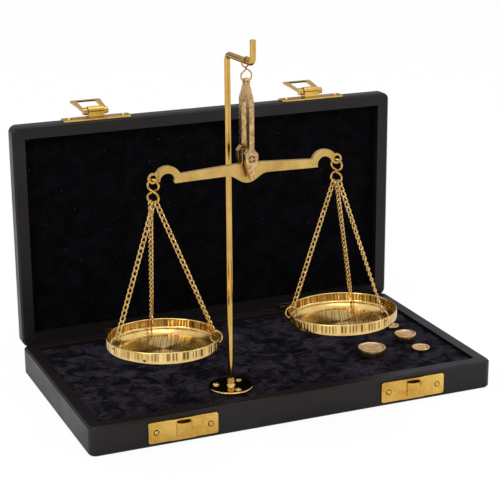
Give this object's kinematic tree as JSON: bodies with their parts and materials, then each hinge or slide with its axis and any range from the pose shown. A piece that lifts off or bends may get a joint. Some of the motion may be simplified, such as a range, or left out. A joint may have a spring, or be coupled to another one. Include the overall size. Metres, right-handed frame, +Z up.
{
  "type": "brass weighing scale",
  "caption": "Small equal-arm brass balance hung from a cranked post on the velvet bed of a shallow hinged case, with chain-hung pans, S-hooks, hasp latches and loose weights.",
  "frame": {"origin": "centre of the flat bottom of the case, on the table", "axes": "+X to the right along the case, +Y back to the hinges, +Z up"},
  "size_m": [0.21, 0.1631, 0.1854],
  "materials": {
    "leatherette": "satin black leatherette with a fine grain",
    "wood": "plain unfinished softwood under the covering",
    "board": "plain board under the lining",
    "card": "plain grey card behind the lid lining",
    "velvet": "black crushed velvet",
    "fittings_brass": "bright lacquered sheet brass",
    "scale_brass": "polished brass, a little tarnished",
    "chain_brass": "drawn brass wire links",
    "pan_brass": "turned brass, satin floor and ribbed wall",
    "weight_brass": "pale turned brass"
  },
  "bodies": {
    "case": {"base_core": "wood", "base_cover": "leatherette", "base_board": "board", "base_velvet": "velvet", "catch_nails": "fittings_brass", "hinge_base_nails": "fittings_brass", "post_flange": "scale_brass", "flange_screws": "scale_brass", "post": "scale_brass", "left_catch_plate": "fittings_brass", "left_hinge_base_leaf": "fittings_brass", "right_catch_plate": "fittings_brass", "right_hinge_base_leaf": "fittings_brass"},
    "lid": {"lid_core": "wood", "lid_cover": "leatherette", "lid_card": "card", "lid_velvet": "velvet", "hinge_lid_nails": "fittings_brass", "latch_nails": "fittings_brass", "left_hinge_lid_leaf": "fittings_brass", "left_hinge_pin": "fittings_brass", "left_latch_plate": "fittings_brass", "left_hasp_pin": "fittings_brass", "right_hinge_lid_leaf": "fittings_brass", "right_hinge_pin": "fittings_brass", "right_latch_plate": "fittings_brass", "right_hasp_pin": "fittings_brass"},
    "left_hasp": {"left_hasp": "fittings_brass"},
    "right_hasp": {"right_hasp": "fittings_brass"},
    "top_hook": {"top_hook": "scale_brass"},
    "shears": {"shears": "scale_brass"},
    "beam": {"beam": "scale_brass", "knife_edge": "scale_brass"},
    "left_end_hook": {"left_end_hook": "scale_brass"},
    "right_end_hook": {"right_end_hook": "scale_brass"},
    "left_pan": {"left_pan": "pan_brass", "left_pan_rings": "scale_brass", "left_chain_a": "chain_brass", "left_chain_b": "chain_brass", "left_chain_c": "chain_brass"},
    "right_pan": {"right_pan": "pan_brass", "right_pan_rings": "scale_brass", "right_chain_a": "chain_brass", "right_chain_b": "chain_brass", "right_chain_c": "chain_brass"},
    "weight_a": {"weight_a": "weight_brass"},
    "weight_b": {"weight_b": "weight_brass"},
    "weight_c": {"weight_c": "weight_brass"},
    "weight_d": {"weight_d": "weight_brass"}
  },
  "joints": [
    {"name": "lid_hinge", "type": "hinge", "parent": "case", "child": "lid", "pos_m": [0, 0.0568, 0.01465], "axis": [1, 0, 0], "range_deg": [0, 38]},
    {"name": "left_hasp_hinge", "type": "hinge", "parent": "lid", "child": "left_hasp", "pos_m": [-0.06, 0.0623, 0.13305], "axis": [1, 0, 0], "range_deg": [0, 173.6]},
    {"name": "right_hasp_hinge", "type": "hinge", "parent": "lid", "child": "right_hasp", "pos_m": [0.06, 0.0623, 0.13305], "axis": [1, 0, 0], "range_deg": [0, 173.6]},
    {"name": "hook_swing", "type": "hinge", "parent": "case", "child": "top_hook", "pos_m": [-0.0256, -0.0543, 0.175], "axis": [0, 1, 0], "range_deg": [-5, 5]},
    {"name": "shears_swing", "type": "hinge", "parent": "top_hook", "child": "shears", "pos_m": [-0.0256, -0.0543, 0.16591], "axis": [1, 0, 0], "range_deg": [-5, 5]},
    {"name": "beam_tilt", "type": "hinge", "parent": "shears", "child": "beam", "pos_m": [-0.0256, -0.0543, 0.13174], "axis": [0, 1, 0], "range_deg": [-6, 6]},
    {"name": "left_hook_swing", "type": "hinge", "parent": "beam", "child": "left_end_hook", "pos_m": [-0.0704, -0.0543, 0.12583], "axis": [0, 1, 0], "range_deg": [-6, 6]},
    {"name": "right_hook_swing", "type": "hinge", "parent": "beam", "child": "right_end_hook", "pos_m": [0.0192, -0.0543, 0.12583], "axis": [0, 1, 0], "range_deg": [-6, 6]},
    {"name": "left_pan_swing", "type": "hinge", "parent": "left_end_hook", "child": "left_pan", "pos_m": [-0.0704, -0.0543, 0.11483], "axis": [0.7071, -0.7071, 0], "range_deg": [-5, 5]},
    {"name": "right_pan_swing", "type": "hinge", "parent": "right_end_hook", "child": "right_pan", "pos_m": [0.0192, -0.0543, 0.11483], "axis": [0.7071, -0.7071, 0], "range_deg": [-5, 5]},
    {"name": "weight_a_lift", "type": "slide", "parent": "case", "child": "weight_a", "axis": [0, 0, 1], "range_m": [0, 0.012]},
    {"name": "weight_b_lift", "type": "slide", "parent": "case", "child": "weight_b", "axis": [0, 0, 1], "range_m": [0, 0.012]},
    {"name": "weight_c_lift", "type": "slide", "parent": "case", "child": "weight_c", "axis": [0, 0, 1], "range_m": [0, 0.012]},
    {"name": "weight_d_lift", "type": "slide", "parent": "case", "child": "weight_d", "axis": [0, 0, 1], "range_m": [0, 0.012]}
  ],
  "couplings": [
    {"joint": "left_hook_swing", "follows": "beam_tilt", "ratio": -1},
    {"joint": "right_hook_swing", "follows": "beam_tilt", "ratio": -1}
  ]
}
